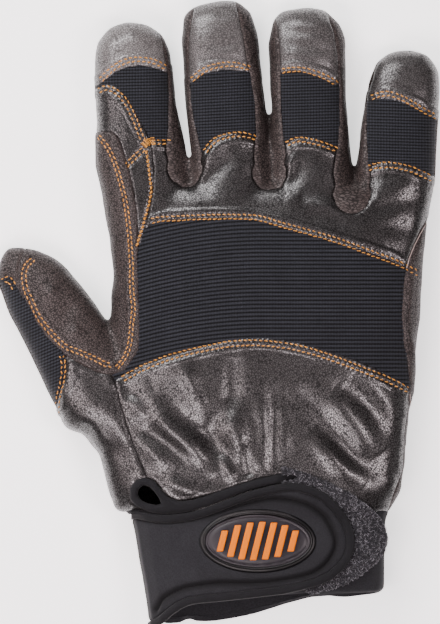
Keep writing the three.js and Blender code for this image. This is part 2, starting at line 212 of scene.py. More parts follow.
def curvePoints(points, offset, step):
    # places at even steps along a smooth line through the points, moved aside by the offset
    corners = np.array(points, dtype=float)
    padded = np.vstack([2 * corners[0] - corners[1], corners, 2 * corners[-1] - corners[-2]])
    path = []
    for i in range(1, len(padded) - 2):
        p0, p1, p2, p3 = padded[i - 1 : i + 3]
        for t in np.linspace(0, 1, curveSteps, endpoint=False):
            square, cube = 2 * p0 - 5 * p1 + 4 * p2 - p3, 3 * p1 - p0 - 3 * p2 + p3
            path.append(0.5 * (2 * p1 + (p2 - p0) * t + square * t ** 2 + cube * t ** 3))
    path = np.array(path + [corners[-1]])
    run = np.gradient(path, axis=0)
    run /= np.linalg.norm(run, axis=1)[:, None]
    path += offset * np.column_stack([-run[:, 1], run[:, 0]])
    gone = np.concatenate([[0], np.cumsum(np.linalg.norm(np.diff(path, axis=0), axis=1))])
    stops = np.arange(step / 2, gone[-1], step)
    return np.column_stack([np.interp(stops, gone, path[:, k]) for k in (0, 1)])


def lineTree(points):
    path = curvePoints(points, 0, 1)
    tree = KDTree(len(path))
    for i, (x, y) in enumerate(path):
        tree.insert((*spot(x, y), 0), i)
    tree.balance()
    return tree


def asideOf(tree, points):
    return np.array([tree.find((x, y, 0))[2] for x, y in points[:, :2]])


def makeSlit(stops):
    # a wedge through the whole hand, as a closed prism
    left = [spot(x, y) for x, y, _, _ in stops]
    right = [spot(x, y) for _, _, x, y in reversed(stops)]
    outline = left + right
    points = [(x, y, z) for z in handForm["slitHeights"] for x, y in outline]
    count = len(outline)
    sides = [(i, (i + 1) % count, (i + 1) % count + count, i + count) for i in range(count)]
    ends = [tuple(range(count))[::-1], tuple(range(count, 2 * count))]
    slit = meshPiece("slit", points, sides + ends)
    editAll(slit, facesOut)
    return slit


def makeHandForm():
    casts = [copyOf(nodes[name], name + "Cast") for name in skin]
    hull = [(bpy.ops.mesh.convex_hull, {})]
    mouthPlug = copyOf(nodes["cuff"], "mouthPlug")
    middle = sum((Vector(corner) for corner in mouthPlug.bound_box), Vector()) / 8
    shrink = {"value": handForm["plugShare"], "center_override": middle}
    editAll(mouthPlug, *hull, (bpy.ops.transform.resize, shrink))
    ventPlug = copyOf(nodes["vent_binding"], "ventPlug")
    shape = bmesh.new()
    shape.from_mesh(ventPlug.data)
    edge = acrossAt(handForm["ventEnd"])
    bmesh.ops.delete(shape, geom=[v for v in shape.verts if v.co.x > edge], context="VERTS")
    shape.to_mesh(ventPlug.data)
    shape.free()
    editAll(ventPlug, *hull)
    deselectAll()
    for piece in casts + [ventPlug, mouthPlug]:
        piece.select_set(True)
    bpy.context.view_layer.objects.active = mouthPlug
    bpy.ops.object.join()
    form = bpy.context.view_layer.objects.active
    editAll(form, mergeCorners)
    applyModifier(form, "REMESH", mode="VOXEL", voxel_size=handForm["voxel"])
    for stops in handForm["slits"]:
        slit = makeSlit(stops)
        applyModifier(form, "BOOLEAN", operation="DIFFERENCE", object=slit, solver="EXACT")
        bpy.data.objects.remove(slit)
    applyModifier(form, "REMESH", mode="VOXEL", voxel_size=handForm["voxel"])
    inGap = np.zeros(len(form.data.vertices))
    for gap in handForm["gaps"]:
        aside = asideOf(lineTree(gap), pointsOf(form))
        core = handForm["gapCore"] * handForm["gapWidth"]
        inGap = np.maximum(inGap, 1 - ramp(aside, core, handForm["gapWidth"]))
    softened = form.vertex_groups.new(name="softened")
    for i, share in enumerate(1 - (1 - handForm["gapShare"]) * inGap):
        softened.add([i], share, "REPLACE")
    applyModifier(form, "SMOOTH", factor=0.5, iterations=handForm["smoothPasses"],
                  vertex_group="softened")
    applyModifier(form, "DISPLACE", strength=handForm["regain"], mid_level=0,
                  vertex_group="softened")
    points = pointsOf(form)
    points[:, 2] = np.maximum(points[:, 2], 0)
    setPoints(form, points)
    form.name = "handForm"
    print("hand form:", len(form.data.vertices), "vertices")
    return form


form = makeHandForm()
formTree = treeOf(form)
formPoints = pointsOf(form)
formFaces = np.array([face.vertices[:] for face in form.data.polygons])
nodeTrees = {name: treeOf(node) for name, node in nodes.items()}
nodeCorners = {name: [np.array(corner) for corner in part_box(name)] for name in nodes}
seamReach = 7 * mm  # seams further off than this don't shape the leather
openEdge = 2 * mm  # how far from its solid a panel may run where it has no neighbour
looseEdge = 0.9 * mm  # the same beside the mouth and the vent, where the form is only a plug
roughEdge = 3 * mm  # the form nearer than this to a panel is cut to make its skin
plugged = ("cuff", "vent_binding", "wrist_panel")  # the panels next to the mouth and the vent
knitNodes = [name for name in skin if skin[name]["slot"] == "stretch_knit"]
leathery = ("black_leather", "brown_leather")


# The forks end in a round U on the back of the hand: centre and radius in pixels
forkEnds = {
    "fork_index_middle": {"centre": (185, 168), "radius": 16.5},
    "fork_middle_ring": {"centre": (269.5, 172.5), "radius": 16},
    "fork_ring_little": {"centre": (352, 195), "radius": 17.5},
}
forkEndLowest = 11 * mm  # the ends lie above this height only


def distancesTo(name, points):
    low, high = nodeCorners[name]
    distances = np.full(len(points), seamReach)
    near = np.where(((points > low - seamReach) & (points < high + seamReach)).all(axis=1))[0]
    find = nodeTrees[name].find_nearest
    for i in near:
        found = find(points[i], seamReach)[3]
        if found is not None:
            distances[i] = found
    if name in forkEnds:
        end = forkEnds[name]
        aside = np.linalg.norm(points[:, :2] - spot(*end["centre"]), axis=1)
        beyond = np.maximum(aside - end["radius"] * picture["pixel"], 0)
        distances = np.where(points[:, 2] > forkEndLowest, np.minimum(distances, beyond), distances)
    return distances


# Distances from the form to every panel, for picking out each panel's stretch of it
formDistances = {name: distancesTo(name, formPoints) for name in skin}
print("seams measured")


def stretchOf(name, rough, levels):
    # the form's faces round a rough mask of its vertices, as a mesh of its own
    keep = rough[formFaces].any(axis=1)
    faces = formFaces[keep]
    used, renumbered = np.unique(faces, return_inverse=True)
    piece = meshPiece(name, formPoints[used].tolist(), renumbered.reshape(faces.shape).tolist())
    if levels:
        applyModifier(piece, "SUBSURF", levels=levels, render_levels=levels)
    return piece


snapShare = 0.22  # a corner nearer to the cut than this share of an edge is moved onto it


def trim(piece, field):
    # cuts a mesh exactly where the field is zero, and keeps the side where it is below
    cut = bmesh.new()
    cut.from_mesh(piece.data)
    level = cut.verts.layers.float.new("level")
    for vertex, value in zip(cut.verts, field):
        vertex[level] = value
    onLine = set()
    for edge in cut.edges:
        a, b = edge.verts
        if a[level] * b[level] >= 0:
            continue
        share = a[level] / (a[level] - b[level])
        for near, far, part in ((a, b, share), (b, a, 1 - share)):
            if part < snapShare and near not in onLine:
                near.co = near.co.lerp(far.co, part)
                near[level] = 0
                onLine.add(near)
                break
    for edge in [e for e in cut.edges if e.verts[0][level] * e.verts[1][level] < 0]:
        a, b = edge.verts
        vertex = bmesh.utils.edge_split(edge, a, a[level] / (a[level] - b[level]))[1]
        vertex[level] = 0
        onLine.add(vertex)
    bmesh.ops.connect_verts(cut, verts=list(onLine))
    outside = [f for f in cut.faces if max((v[level] for v in f.verts), key=abs) > 0]
    bmesh.ops.delete(cut, geom=outside, context="FACES")
    bmesh.ops.delete(cut, geom=smallIslands(cut), context="FACES")
    loose = [v for v in cut.verts if not v.link_faces]
    bmesh.ops.delete(cut, geom=loose, context="VERTS")
    cut.verts.layers.float.remove(cut.verts.layers.float["level"])
    cut.to_mesh(piece.data)
    cut.free()


def smallIslands(shape):
    # faces of every connected stretch but the largest
    islands = []
    seen = set()
    for start in shape.faces:
        if start in seen:
            continue
        island = [start]
        seen.add(start)
        for face in island:
            for edge in face.edges:
                for other in edge.link_faces:
                    if other not in seen:
                        seen.add(other)
                        island.append(other)
        islands.append(island)
    islands.sort(key=len)
    return [face for island in islands[:-1] for face in island]


# The last small moves of the whole shape: a place and a move in pixels, and a radius
nudges = [
    {"at": (37, 243), "by": (-1.5, 6.5), "radius": 8 * mm},
    {"at": (10, 252), "by": (-3, -4.5), "radius": 5 * mm},
    {"at": (132, 519), "by": (-1.5, -3), "radius": 6 * mm},
    {"at": (120, 22), "by": (-0.7, -2.6), "radius": 9 * mm},
    {"at": (238, 0), "by": (0.8, -1.8), "radius": 7 * mm},
    {"at": (188, 12), "by": (-2, -1.5), "radius": 6 * mm},
    {"at": (277, 12), "by": (-3, -2), "radius": 5 * mm},
    {"at": (338, 16), "by": (-1.5, 1.2), "radius": 5 * mm},
    {"at": (422, 52), "by": (1.6, -2), "radius": 8 * mm},
    {"at": (424, 240), "by": (2, 0), "radius": 12 * mm},
    {"at": (420, 310), "by": (1.8, 0), "radius": 12 * mm},
    {"at": (412, 390), "by": (1.8, 0), "radius": 12 * mm},
    {"at": (402, 465), "by": (2, 0), "radius": 11 * mm},
    {"at": (118, 508), "by": (-3.5, 4), "radius": 5 * mm},
    {"at": (125, 514), "by": (1, 0), "radius": 2.5 * mm},
    {"at": (83, 436), "by": (4, -4.5), "radius": 5 * mm},
    {"at": (140, 565), "by": (-1.5, 0), "radius": 11 * mm},
    {"at": (116, 292), "by": (-1.6, 0.6), "radius": 5 * mm},
    {"at": (312, 600), "by": (0, -1), "radius": 10 * mm},
]


def nudge(piece):
    points = pointsOf(piece)
    for move in nudges:
        away = np.linalg.norm(points[:, :2] - spot(*move["at"]), axis=1)
        share = np.exp(-(away / move["radius"]) ** 2)[:, None]
        points[:, :2] += share * picture["pixel"] * np.array([move["by"][0], -move["by"][1]])
    points[:, 2] = np.maximum(points[:, 2], 0)
    setPoints(piece, points)


def fold(width, rise, *places):
    return {"width": width, "rise": rise, "points": places}


# Soft folds in the leather: the width and the rise in millimetres, then places in the picture. A
# fold runs out at both ends, and a negative rise is a valley.
folds = [
    # over the wrist
    fold(4.0, 2.1, (127, 382), (150, 403), (171, 427), (193, 455), (211, 487)),
    fold(3.2, -1.3, (150, 391), (176, 416), (202, 432), (222, 452), (236, 480)),
    fold(2.8, -1.3, (136, 425), (161, 440), (183, 455), (203, 472), (214, 492)),
    fold(2.2, -0.7, (122, 386), (145, 402), (158, 424)),
    fold(2.4, 0.6, (127, 392), (138, 413), (142, 428)),
    fold(2.8, 0.9, (136, 430), (156, 456), (172, 470)),
    fold(2.2, 1.2, (161, 478), (180, 487), (202, 495)),
    fold(7.0, 1.0, (145, 380), (172, 372), (205, 366)),
    fold(2.2, 0.9, (180, 356), (196, 392), (208, 415)),
    fold(3.0, -1.4, (232, 350), (231, 390), (226, 410), (214, 424), (210, 450), (214, 480)),
    fold(3.4, 1.6, (225, 392), (232, 420), (243, 450), (252, 474)),
    fold(1.6, 1.1, (219, 450), (238, 489)),
    fold(1.7, -1.2, (243, 440), (251, 480)),
    fold(2.5, 1.05, (256, 386), (263, 412), (265, 440), (264, 480)),
    fold(2.3, -0.7, (272, 376), (273, 420), (271, 472)),
    fold(2.2, 0.5, (284, 400), (283, 470)),
    fold(4.8, 2.0, (324, 393), (348, 412), (368, 438), (383, 458)),
    fold(4.4, -1.3, (280, 386), (306, 404), (322, 423), (340, 444), (370, 465), (390, 476)),
    fold(4.2, -1.0, (340, 378), (362, 400), (378, 428), (394, 458)),
    fold(3.2, 1.0, (348, 373), (373, 386), (387, 406), (400, 436)),
    fold(3.2, 1.8, (306, 426), (331, 455), (352, 474), (372, 484)),
    fold(2.0, 1.0, (382, 470), (396, 488)),
    # from the finger roots over the knuckles
    fold(2.2, 1.2, (230, 139), (207, 161), (191, 183), (174, 196)),
    fold(2.8, -0.8, (236, 150), (215, 172), (198, 192)),
    fold(4.0, 0.7, (160, 203), (200, 199), (250, 197)),
    fold(1.9, 1.1, (298, 146), (288, 167), (280, 185), (269, 192)),
    fold(2.6, -0.7, (304, 156), (296, 176), (288, 188)),
    fold(2.6, 0.6, (280, 195), (305, 196)),
    fold(1.8, 0.5, (300, 202), (336, 208), (352, 216)),
    fold(2.4, -0.5, (300, 209), (350, 226)),
    fold(3.6, 0.5, (370, 206), (388, 194), (408, 185), (430, 179)),
    fold(2.4, 0.3, (366, 207), (377, 192), (380, 176)),
    fold(2.4, -0.45, (366, 211), (395, 203), (426, 193)),
    fold(3.2, 0.4, (366, 219), (400, 216), (428, 217)),
    fold(2.8, -0.2, (372, 226), (400, 226), (420, 230)),
    fold(3.0, 0.25, (376, 236), (400, 240), (412, 250)),
    # on the caps
    fold(1.2, -0.35, (212, 13), (237, 17)),
    fold(1.6, -0.3, (218, 30), (243, 34)),
    fold(1.5, -0.45, (216, 46), (244, 43)),
    fold(1.8, 0.4, (206, 52), (246, 52)),
    fold(1.5, -0.4, (276, 22), (300, 32), (330, 34)),
    fold(1.6, -0.35, (280, 42), (306, 46), (334, 54)),
    fold(2.0, 0.4, (284, 52), (330, 60)),
    fold(3.0, 0.3, (120, 36), (146, 34)),
    fold(1.8, -0.3, (384, 62), (400, 70), (425, 74)),
    # on the gusset and the thumb
    fold(4.0, 0.5, (66, 390), (88, 408), (110, 440)),
    fold(3.0, -0.45, (84, 400), (104, 424), (124, 462)),
    fold(3.0, 0.4, (100, 390), (112, 420), (130, 452)),
    fold(1.6, 0.8, (47, 305), (54, 283)),
    fold(2.0, 0.9, (66, 343), (82, 324)),
    fold(2.4, -0.7, (60, 320), (74, 300)),
    # the outer seam's furrow and its ridge
    fold(0.9, -1.1, (428, 218), (415, 242), (405, 270), (401, 334), (407, 348), (408, 390), (409, 416),
        (404, 444), (401, 486)),
    fold(1.1, 0.8, (430, 222), (418, 244), (408.5, 270), (405, 334), (411, 348), (412, 390),
        (412.5, 416), (408, 444), (404, 486)),
]
foldScale = {"width": 1.3, "rise": 0.9}
foldStep = 9  # pixels between the stops of a fold's line
foldReach = 3  # a fold is worked out as far as this many of its widths
foldFacing = (-0.2, 0.5)  # folds fade out where the leather turns downwards


def awayFrom(line, points):
    # distance in plan from a line of stops, and the share of the line gone by there
    away = np.full(len(points), np.inf)
    gone = np.zeros(len(points))
    for i in range(len(line) - 1):
        run = line[i + 1] - line[i]
        share = np.clip((points - line[i]) @ run / (run @ run), 0, 1)
        aside = np.linalg.norm(points - line[i] - share[:, None] * run, axis=1)
        nearer = aside < away
        away = np.where(nearer, aside, away)
        gone = np.where(nearer, (i + share) / (len(line) - 1), gone)
    return away, gone


def foldHeights(points, normals):
    heights = np.zeros(len(points))
    for crease in folds:
        line = np.column_stack(spot(*curvePoints(crease["points"], 0, foldStep).T))
        width = foldScale["width"] * crease["width"] * mm
        rise = foldScale["rise"] * crease["rise"] * mm
        reach = foldReach * width
        low, high = line.min(axis=0) - reach, line.max(axis=0) + reach
        near = np.where(((points[:, :2] > low) & (points[:, :2] < high)).all(axis=1))[0]
        if len(near):
            away, gone = awayFrom(line, points[near, :2])
            strength = np.sin(np.pi * np.clip(gone, 0.02, 0.98)) ** 0.6
            heights[near] += rise * strength * np.exp(-(away / width) ** 2)
    return heights * ramp(normals[:, 2], *foldFacing)


def creaseHeights(points, size, depth, seed):
    # low uneven ground of soft leather, from a noise of the given size
    shift = Vector((seed * 7.3, seed * 3.1, seed))
    field = [noise.noise(Vector(point) / size + shift) for point in points]
    return np.array(field) * depth


# The outer seam shows a raw edge of leather, made as one close row of short straight stitches
rawEdge = {"offsets": (0,), "pitch": 0.9 * mm, "width": 0.42 * mm, "slant": 0, "slot": "brown_leather"}
# Seam lines: a row of stitches follows each, and the offsets in pixels place a second row
stitchLines = {
    "indexCap": {"offsets": (0, 4), "points": [
        (99, 79), (108, 70), (116, 64), (125, 59.5), (135, 57.5), (147, 58), (158, 61), (168, 67)]},
    "middleCap": {"offsets": (0, 4), "points": [
        (190, 79), (198, 72), (207, 66.5), (220, 63), (235, 62.5), (250, 66)]},
    "ringCap": {"offsets": (0, 4), "points": [
        (281, 69), (293, 67.5), (305, 68), (317, 71.5), (327, 75.5), (338, 82)]},
    "littleCap": {"offsets": (0, 4), "points": [
        (370, 96), (378, 93), (388, 91.5), (400, 95), (412, 101), (425, 109), (437, 115)]},
    "indexSide": {"offsets": (0, 4), "points": [
        (97, 90), (103, 86.5), (111, 87), (120, 92), (127, 100), (133, 111), (138, 122), (142, 133),
        (145, 140)]},
    "indexHem": {"offsets": (0, 4), "points": [(151, 140.5), (160, 140), (169, 140)]},
    "bartack": {"offsets": (-1.6, -0.2, 1.2, 2.6, 4.0), "pitch": 1.5 * mm, "points": [
        (142.5, 145.5), (146, 141.5), (153, 139.5)]},
    "indexBranch": {"offsets": (0, -4), "points": [(143, 147), (134, 155), (126, 163)]},
    "indexRope": {"offsets": (0,), "pitch": 1.75 * mm, "width": 1.05 * mm, "slant": 24, "points": [
        (146, 150), (148, 162), (150, 178), (151, 190), (149, 203), (146, 214), (143, 225),
        (137, 245)]},
    "middleHem": {"offsets": (0, 4), "points": [
        (203, 151), (208, 144), (214, 138.5), (224, 134.5), (235, 132.5), (246, 133), (256, 136)]},
    "ringHem": {"offsets": (0, 4), "points": [
        (285, 143), (292, 139), (300, 137.5), (310, 139), (322, 142), (338, 148)]},
    "littleHem": {"offsets": (0, 5), "points": [
        (367, 166), (375, 163.5), (390, 162.5), (403, 164.5), (415, 168), (432, 176)]},
    "knuckle": {"offsets": (0, 4.4), "points": [
        (150, 219), (160, 217), (180, 216), (200, 215), (225, 214.5), (250, 215), (262, 216.5),
        (280, 222), (300, 227.5), (320, 233), (340, 239), (360, 246.5), (380, 254), (400, 262),
        (419, 272)]},
    "wrist": {"offsets": (0, 5), "points": [
        (121, 377), (135, 369), (155, 360), (175, 353), (195, 348), (215, 344), (235, 341),
        (260, 340.5), (285, 343), (305, 347), (325, 353), (345, 360), (365, 368), (385, 376),
        (408, 388)]},
    "gripThumb": {"offsets": (0, -4), "points": [
        (33, 253), (25, 264), (22, 275), (24, 290), (30, 303), (37, 318), (47, 331), (57, 342),
        (66, 349), (76, 353), (86, 357), (97, 362), (106, 366.5), (113, 367)]},
    "gripFinger": {"offsets": (0, 3.2), "points": [
        (115, 367), (122, 359), (127, 348), (129, 337), (130, 325), (132, 310), (131, 295),
        (130, 280), (130, 265), (129, 250), (128, 235), (126, 218), (124, 203), (121, 190),
        (117, 175), (112, 160), (106, 148), (98, 138)]},
    "thumbTip": {"offsets": (0, 5), "points": [(1, 281), (4, 277.5), (9, 277), (13, 280), (17, 287)]},
    "thumbKnit": {"offsets": (0, 3.4), "points": [
        (63, 354), (65, 363), (65, 374), (63, 386), (60, 398), (59, 410), (60, 418)]},
    "outerSeam": {**rawEdge, "points": [(426, 221), (420, 231), (413.5, 244), (409, 256), (406, 268)]},
    "outerEdge": {**rawEdge, "points": [(408, 394), (409, 416), (406, 440), (403.5, 462), (402, 484)]},
}
stitch = {"pitch": 2.0 * mm, "length": 1.65 * mm, "width": 0.54 * mm, "slant": 11,
          "pucker": 0.45 * mm, "puckerWidth": 0.75 * mm, "lift": 0.12 * mm, "flatness": 0.8,
          "sides": 6, "bluntness": 0.8}


stitchPlaces = {}
for seam, line in stitchLines.items():
    rows = [curvePoints(line["points"], offset, line.get("pitch", stitch["pitch"]) / picture["pixel"])
            for offset in line["offsets"]]
    stitchPlaces[seam] = [np.column_stack(spot(row[:, 0], row[:, 1])) for row in rows]
puckerTree = KDTree(sum(len(row) for rows in stitchPlaces.values() for row in rows))
for row in (row for rows in stitchPlaces.values() for row in rows):
    for x, y in row:
        puckerTree.insert((x, y, 0), 0)
puckerTree.balance()


def puckerHeights(points):
    # the thread draws the leather in along each row
    aside = asideOf(puckerTree, points)
    return -stitch["pucker"] * np.exp(-(aside / stitch["puckerWidth"]) ** 2)


# Materials: a Wire is one socket, so that shader maths reads as Python
class Wire:
    def __init__(self, finish, socket):
        self.finish = finish
        self.socket = socket

    def maths(self, operation, *values):
        inputs = dict(enumerate(values))
        return self.finish.node("ShaderNodeMath", {"operation": operation}, inputs)

    def __add__(self, other):
        return self.maths("ADD", self, other)

    def __sub__(self, other):
        return self.maths("SUBTRACT", self, other)

    def __rsub__(self, other):
        return self.maths("SUBTRACT", other, self)

    def __mul__(self, other):
        return self.maths("MULTIPLY", self, other)

    __radd__ = __add__
    __rmul__ = __mul__

    def sine(self):
        return self.maths("SINE", self)

    def step(self, low, high):
        # a smooth change from 0 to 1 as the value goes from low to high
        return self.finish.node("ShaderNodeMapRange", {"interpolation_type": "SMOOTHSTEP"}, {
            "Value": self, "From Min": low, "From Max": high})


class Finish:
    def __init__(self, name, **fixed):
        self.material = bpy.data.materials.new(name)
        self.material.use_nodes = True
        self.tree = self.material.node_tree
        self.shader = self.tree.nodes["Principled BSDF"]
        for key, value in fixed.items():
            self.shader.inputs[key.replace("_", " ")].default_value = value
        self.coordinates = self.node("ShaderNodeTexCoord", output="Object")

    def node(self, kind, settings=None, inputs=None, output=0):
        made = self.tree.nodes.new(kind)
        for key, value in (settings or {}).items():
            setattr(made, key, value)
        for key, value in (inputs or {}).items():
            if isinstance(value, Wire):
                self.tree.links.new(value.socket, made.inputs[key])
            else:
                made.inputs[key].default_value = value
        return Wire(self, made.outputs[output])

    def turned(self, angle, stretch):
        # coordinates along which a pattern lies turned and drawn out
        return self.node("ShaderNodeMapping", {"vector_type": "TEXTURE"}, {
            "Vector": self.coordinates, "Rotation": (0, 0, math.radians(angle)), "Scale": stretch})

    def noise(self, size, detail=2, vector=None):
        return self.node("ShaderNodeTexNoise", {}, {
            "Vector": vector or self.coordinates, "Scale": 1 / size, "Detail": detail})

    def cells(self, size, vector):
        # the distance from the nearest crease between cells
        return self.node("ShaderNodeTexVoronoi", {"feature": "DISTANCE_TO_EDGE"}, {
            "Vector": vector, "Scale": 1 / size}, "Distance")

    def vectors(self, operation, inputs):
        return self.node("ShaderNodeVectorMath", {"operation": operation}, inputs)

    def bent(self, size, amount, vector):
        # coordinates pushed about by a noise, so that cells aren't regular
        push = self.node("ShaderNodeTexNoise", {}, {
            "Vector": vector, "Scale": 1 / size, "Detail": 1}, "Color")
        centred = self.vectors("SUBTRACT", {0: push, 1: (0.5, 0.5, 0.5)})
        scaled = self.vectors("SCALE", {0: centred, "Scale": amount})
        return self.vectors("ADD", {0: vector, 1: scaled})

    def along(self, axis):
        return self.node("ShaderNodeSeparateXYZ", {}, {0: self.coordinates}, axis)

    def attribute(self, name):
        return self.node("ShaderNodeAttribute", {"attribute_name": name}, {}, "Fac")

    def mixColour(self, factor, first, second):
        return self.node("ShaderNodeMix", {"data_type": "RGBA"}, {0: factor, 6: first, 7: second}, 2)

    def vary(self, key, value):
        if isinstance(value, Wire):
            self.tree.links.new(value.socket, self.shader.inputs[key])
        else:
            self.shader.inputs[key].default_value = value

    def close(self, colour, roughness, height, distance):
        self.vary("Base Color", colour)
        self.vary("Roughness", roughness)
        self.vary("Normal", self.node("ShaderNodeBump", {}, {"Height": height, "Distance": distance}))
        return self.material


# Only the tops of the pebbles shine: the coat lies on them, and the creases between stay dark
leathers = {
    "blackLeather": {"dark": (0.0006, 0.0005, 0.0005, 1), "light": (0.0080, 0.0065, 0.0065, 1),
                     "cell": 0.7 * mm, "draw": (1, 1.35, 1), "crossed": (1.35, 0.95, 1), "lie": 18,
                     "relief": 0.06 * mm, "gloss": (0.31, 0.5), "shine": 0.18, "coat": 1.0,
                     "gleam": 1.72},
    "brownLeather": {"dark": (0.0014, 0.0010, 0.0009, 1), "light": (0.0400, 0.0300, 0.0280, 1),
                     "cell": 0.8 * mm, "draw": (1.2, 1, 1), "crossed": (2.4, 1, 1), "lie": 8,
                     "relief": 0.10 * mm, "gloss": (0.45, 0.75), "shine": 0.2, "coat": 0.4,
                     "gleam": 1.5},
}
grain = {"wander": 1.7 * mm, "wanderBy": 0.45 * mm, "creaseWidth": (0.02, 0.24), "patch": 11 * mm,
         "crease": 3.0 * mm, "seamWear": (0.2 * mm, 1.1 * mm)}
# their grain lies across the fingers, and that of the other panels along the leather's own lie
crossGrained = ("index_cap", "middle_cap", "ring_cap", "little_cap", "knuckle_panel",
                "fork_index_middle", "fork_middle_ring", "fork_ring_little")
# Painted sheen on the fingertip caps: the share of it on each, greatest on the index finger
paintedSheenShares = {"index_cap": 0.95, "middle_cap": 0.55, "ring_cap": 0.4, "little_cap": 0.2}
paintedSheenFacing = (0.2, 0.8)  # painted sheen comes in as the leather faces upwards, from none to all of it
paintedSheenShade = (0.125, 0.118, 0.116, 1)  # painted sheen: the lighter colour of the fingertips where they face up, standing in for the light's sheen
rawEdgeHighlight = (0.30, 0.24, 0.22, 1)  # painted highlight: the pale colour of the raw edge that shows in the outer seam


def makeLeather(name):
    look = leathers[name]
    finish = Finish(name, Specular_IOR_Level=look["shine"], Coat_Roughness=look["gloss"][0],
                    Coat_IOR=look["gleam"])
    lying = finish.turned(look["lie"], look["draw"])
    crossing = finish.turned(0, look["crossed"])
    along, across = (
        finish.cells(look["cell"], finish.bent(grain["wander"], grain["wanderBy"], way)).step(
            *grain["creaseWidth"]) for way in (lying, crossing))
    turn = finish.attribute("crossed")
    pebbles = along * (1 - turn) + across * turn
    patches = finish.noise(grain["patch"], 2)
    creases = finish.noise(grain["crease"], 2, lying)
    seam = finish.attribute("seam").step(*grain["seamWear"])
    colour = finish.mixColour(pebbles * 0.8 + patches * 0.3 - 0.05, look["dark"], look["light"])
    wearAndPaintedLight = finish.mixColour((1 - seam) * 0.25, colour, look["light"])
    # painted sheen lightens the fingertip caps where they face upwards
    paintedSheen = finish.attribute("paintedSheen") * (patches * 0.35 + pebbles * 0.55 + 0.2)
    wearAndPaintedLight = finish.mixColour(paintedSheen, wearAndPaintedLight, paintedSheenShade)
    # painted highlight: the raw edge of the outer seam takes a pale colour
    wearAndPaintedLight = finish.mixColour(finish.attribute("edge"), wearAndPaintedLight, rawEdgeHighlight)
    low, high = look["gloss"]
    finish.vary("Coat Weight", pebbles * look["coat"])
    roughness = (1 - pebbles) * (high - low) + patches * 0.1 + (low - 0.05)
    return finish.close(wearAndPaintedLight, roughness, pebbles * 0.75 + creases * 0.6, look["relief"])


knit = {
    "pitch": 1.55 * mm, "rise": 0.38 * mm,  # the ribs over the back of the hand
    "fingerPitch": 1.2 * mm, "fingerRise": 0.22 * mm,
    "rows": 6, "columns": 1.3 * mm,
    "sink": 0.35 * mm,
    # past its seam the knit goes this far under the leather, and lies deeper there
    "tuck": 2.4 * mm, "under": 0.9 * mm, "underFrom": (0.6 * mm, 1.5 * mm),
    "swells": {"size": 16 * mm, "depth": 0.25 * mm, "seed": 5},
    "loop": 1.14 * mm, "waleShare": 0.4, "fingerWaleShare": 0.9,
    "dark": (0.0004, 0.0005, 0.0007, 1), "light": (0.0170, 0.0190, 0.0245, 1),
}


def makeKnit():
    finish = Finish("stretchKnit", Specular_IOR_Level=0.15, Sheen_Weight=0.04)
    rib = finish.attribute("rib")
    wale = (finish.along("X") * (math.tau / knit["loop"])).sine() * 0.5 + 0.5
    crossed = (wale - 0.5) * finish.attribute("wales")
    yarn = finish.noise(0.4 * mm, 2)
    patches = finish.noise(9 * mm, 2)
    # rib * rib paints the rib tops lighter and the valleys darker: painted highlight and painted shade,
    # over the wales' pattern and the yarn
    lit = rib * rib * 0.85 + crossed * 0.6 + yarn * 0.5 - 0.28
    colour = finish.mixColour(lit * (patches * 0.5 + 0.75), knit["dark"], knit["light"])
    return finish.close(colour, 0.85, wale * rib * 0.6 + yarn * 0.4, 0.14 * mm)


jerseys = {
    "neopreneJersey": {"dark": (0.0020, 0.0020, 0.0026, 1), "light": (0.0215, 0.0225, 0.0260, 1),
                       "loop": 0.34 * mm, "relief": 0.06 * mm},
    "bindingTape": {"dark": (0.0022, 0.0022, 0.0026, 1), "light": (0.0100, 0.0105, 0.0125, 1),
                    "loop": 0.5 * mm, "relief": 0.12 * mm},
    "loopFabric": {"dark": (0.0008, 0.0008, 0.0011, 1), "light": (0.0400, 0.0405, 0.0470, 1),
                   "loop": 0.45 * mm, "relief": 0.3 * mm},
}
paintedFurrowShade = (0.0016, 0.0016, 0.0020, 1)  # painted shade in the strap's furrow
fuzzGlint = (0.330, 0.330, 0.360, 1)  # painted glints: the brightest yarn arcs of the loop fabric


def makeJersey(name):
    look = jerseys[name]
    finish = Finish(name, Specular_IOR_Level=0.15, Sheen_Weight=0.04)
    across = (finish.along("X") * (math.tau / look["loop"])).sine()
    downward = (finish.along("Y") * (math.tau / look["loop"] / 1.3)).sine()
    loops = (across * downward) * 0.5 + 0.5
    yarn = finish.noise(0.5 * mm, 3)
    patches = finish.noise(12 * mm, 3)
    lit = loops * 0.2 + yarn * 1.1 + patches * 0.3 - 0.35
    colour = finish.mixColour(lit, look["dark"], look["light"])
    # painted shade along the strap's furrow
    furrowShaded = finish.mixColour(finish.attribute("furrowShadeShare"), colour, paintedFurrowShade)
    # painted glints on the loop fabric's yarn arcs
    withGlints = finish.mixColour(finish.attribute("yarn"), furrowShaded, fuzzGlint)
    return finish.close(withGlints, yarn * 0.1 + 0.8, loops * 0.6 + yarn, look["relief"])


rubbers = {
    "badgeRubber": {"dark": (0.0100, 0.0085, 0.0110, 1), "light": (0.0150, 0.0130, 0.0165, 1),
                    "gloss": 0.42, "shine": 0.25},
    "orangeRubber": {"dark": (0.52, 0.125, 0.0001, 1), "light": (0.57, 0.14, 0.0001, 1),
                     "gloss": 0.7, "shine": 0.05},
}
rimShade = (0.0012, 0.0012, 0.0015, 1)  # the badge's raised rim


def makeRubber(name):
    look = rubbers[name]
    finish = Finish(name, Specular_IOR_Level=look["shine"])
    patches = finish.noise(5 * mm, 3)
    grain = finish.noise(0.25 * mm, 2)
    colour = finish.mixColour(patches, look["dark"], look["light"])
    rimmed = finish.mixColour(finish.attribute("rim"), colour, rimShade)
    return finish.close(rimmed, patches * 0.15 + (look["gloss"] - 0.07), grain, 0.02 * mm)


